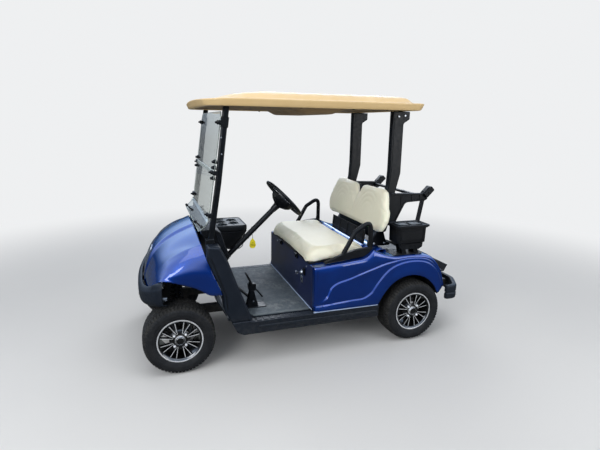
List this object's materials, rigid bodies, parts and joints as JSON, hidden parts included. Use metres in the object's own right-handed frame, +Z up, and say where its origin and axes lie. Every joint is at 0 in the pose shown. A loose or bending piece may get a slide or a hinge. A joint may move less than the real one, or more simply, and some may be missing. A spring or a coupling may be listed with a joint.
{
  "type": "golf cart",
  "caption": "Electric golf cart for two with a roof, fold-down clear windscreen, bench seat, bag rack and steered front wheels",
  "frame": {"origin": "on the ground below the middle of the cart", "axes": "+X forward, +Y to the driver's left side, +Z up"},
  "size_m": [2.4, 1.1888, 1.8059],
  "materials": {
    "blue_paint": "gloss",
    "roof_tan": "satin",
    "roof_brown": "satin",
    "vinyl": "soft satin",
    "black_plastic": "textured",
    "slate_plastic": "textured",
    "floor_rubber": "ribbed matt",
    "clear": "clear",
    "black_steel": "satin",
    "frame_steel": "satin",
    "alloy": "machined",
    "tyre_rubber": "dusty",
    "silver_plate": "plain",
    "yellow": "satin",
    "battery": "satin",
    "bright_steel": "ground"
  },
  "bodies": {
    "chassis": {"frame": "frame_steel", "front_lower_arms": "frame_steel", "front_upper_arms": "frame_steel", "front_shocks": "black_steel", "rack_housing": "frame_steel", "rear_axle": "frame_steel", "leaf_springs": "frame_steel", "battery_block": "battery", "floor_pan": "slate_plastic", "floor_mat": "floor_rubber", "rocker_panels": "slate_plastic", "front_cowl": "blue_paint", "nose_plate": "silver_plate", "front_bumper": "slate_plastic", "bumper_brackets": "frame_steel", "dash": "black_plastic", "windscreen_upper": "clear", "windscreen_lower": "clear", "windscreen_clips": "black_plastic", "front_struts": "black_steel", "roof": "roof_tan", "roof_liner": "roof_brown", "rear_body": "blue_paint", "seat_box_front": "blue_paint", "switch_plates": "silver_plate", "pedals": "black_steel", "steering_column": "black_plastic", "key_tag": "yellow", "rear_struts": "black_steel", "seat_cross_panel": "black_steel", "bag_rack": "black_plastic", "rack_tie_bar": "black_steel", "bag_deck": "black_plastic", "rear_bumper": "slate_plastic", "rear_bumper_stays": "frame_steel", "sand_box": "black_plastic", "sand_box_bracket": "black_steel", "seat_back": "vinyl", "seat_back_carrier": "black_plastic", "deck_plates": "black_plastic", "seat_hinges": "black_steel"},
    "knuckle_left": {"knuckle_left": "frame_steel"},
    "knuckle_right": {"knuckle_right": "frame_steel"},
    "rack": {"rack_bar": "bright_steel"},
    "steering_wheel": {"steering_wheel": "black_plastic"},
    "seat_bottom": {"seat_board": "black_plastic", "seat_cushion": "vinyl", "hip_restraints": "black_plastic"},
    "sand_lid": {"sand_box_lid": "black_plastic"},
    "wheel_front_left": {"tyre_front_left": "tyre_rubber", "rim_front_left": "alloy"},
    "wheel_front_right": {"tyre_front_right": "tyre_rubber", "rim_front_right": "alloy"},
    "wheel_rear_left": {"tyre_rear_left": "tyre_rubber", "rim_rear_left": "alloy"},
    "wheel_rear_right": {"tyre_rear_right": "tyre_rubber", "rim_rear_right": "alloy"}
  },
  "joints": [
    {"name": "steer_left", "type": "hinge", "parent": "chassis", "child": "knuckle_left", "pos_m": [0.955, 0.37, 0.23], "axis": [0, 0, 1], "range_deg": [-28, 28]},
    {"name": "steer_right", "type": "hinge", "parent": "chassis", "child": "knuckle_right", "pos_m": [0.955, -0.37, 0.23], "axis": [0, 0, 1], "range_deg": [-28, 28]},
    {"name": "rack_slide", "type": "slide", "parent": "chassis", "child": "rack", "axis": [0, 1, 0], "range_m": [-0.038, 0.038]},
    {"name": "steering_turn", "type": "hinge", "parent": "chassis", "child": "steering_wheel", "pos_m": [0.178, 0.24, 1.068], "axis": [-0.7254, 0, 0.6884], "range_deg": [-270, 270]},
    {"name": "spin_front_left", "type": "hinge", "parent": "knuckle_left", "child": "wheel_front_left", "pos_m": [0.955, 0.46, 0.23], "axis": [0, 1, 0], "continuous": true},
    {"name": "spin_front_right", "type": "hinge", "parent": "knuckle_right", "child": "wheel_front_right", "pos_m": [0.955, -0.46, 0.23], "axis": [0, 1, 0], "continuous": true},
    {"name": "spin_rear_left", "type": "hinge", "parent": "chassis", "child": "wheel_rear_left", "pos_m": [-0.735, 0.4925, 0.23], "axis": [0, 1, 0], "continuous": true},
    {"name": "spin_rear_right", "type": "hinge", "parent": "chassis", "child": "wheel_rear_right", "pos_m": [-0.735, -0.4925, 0.23], "axis": [0, 1, 0], "continuous": true},
    {"name": "seat_tip", "type": "hinge", "parent": "chassis", "child": "seat_bottom", "pos_m": [0.07, 0, 0.634], "axis": [0, 1, 0], "range_deg": [0, 60]},
    {"name": "sand_lid_hinge", "type": "hinge", "parent": "chassis", "child": "sand_lid", "pos_m": [-0.846, 0.479, 0.8723], "axis": [0, -1, 0], "range_deg": [0, 95]}
  ],
  "couplings": [
    {"joint": "steer_right", "follows": "steer_left", "ratio": 1},
    {"joint": "rack_slide", "follows": "steer_left", "m_per_rad": -0.077},
    {"joint": "steering_turn", "follows": "steer_left", "ratio": 9.6}
  ]
}
